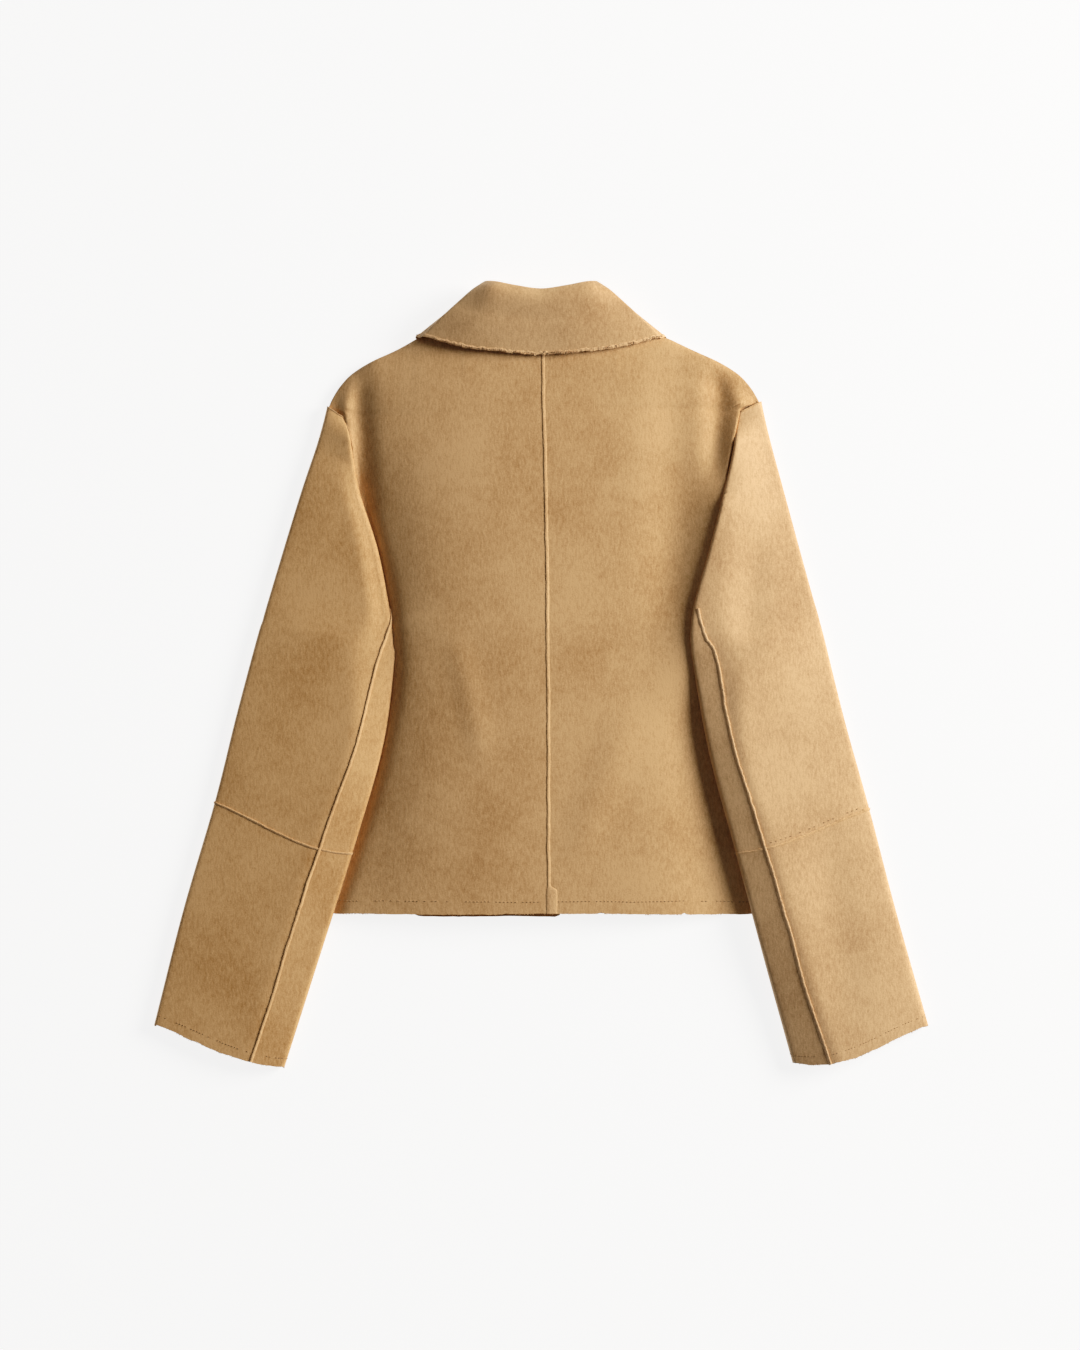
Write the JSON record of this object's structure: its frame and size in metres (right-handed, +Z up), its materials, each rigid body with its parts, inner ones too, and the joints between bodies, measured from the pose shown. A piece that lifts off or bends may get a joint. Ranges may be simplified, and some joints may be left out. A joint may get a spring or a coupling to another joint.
{
  "type": "jacket",
  "caption": "Cropped straight suede jacket laid face down: turned-down collar, centre back seam, long straight sleeves lying down beside and partly over the back, raw edges.",
  "frame": {"origin": "centre of the laid-out jacket's outline, on the surface it lies on", "axes": "+X to the wearer's right, +Y from the hem to the collar, +Z up out of the back"},
  "size_m": [0.7362, 0.7476, 0.0431],
  "materials": {
    "back_suede": "napped suede",
    "front_suede": "napped suede",
    "collar_suede": "napped suede with frayed raw edges",
    "sleeve_suede": "napped suede"
  },
  "bodies": {
    "root": {"back_left": "back_suede", "back_right": "back_suede", "front_left": "front_suede", "front_right": "front_suede", "collar": "collar_suede", "sleeve_left_top_upper": "sleeve_suede", "sleeve_left_under_upper": "sleeve_suede", "sleeve_left_top_lower": "sleeve_suede", "sleeve_left_under_lower": "sleeve_suede", "sleeve_right_top_upper": "sleeve_suede", "sleeve_right_under_upper": "sleeve_suede", "sleeve_right_top_lower": "sleeve_suede", "sleeve_right_under_lower": "sleeve_suede"}
  },
  "joints": []
}
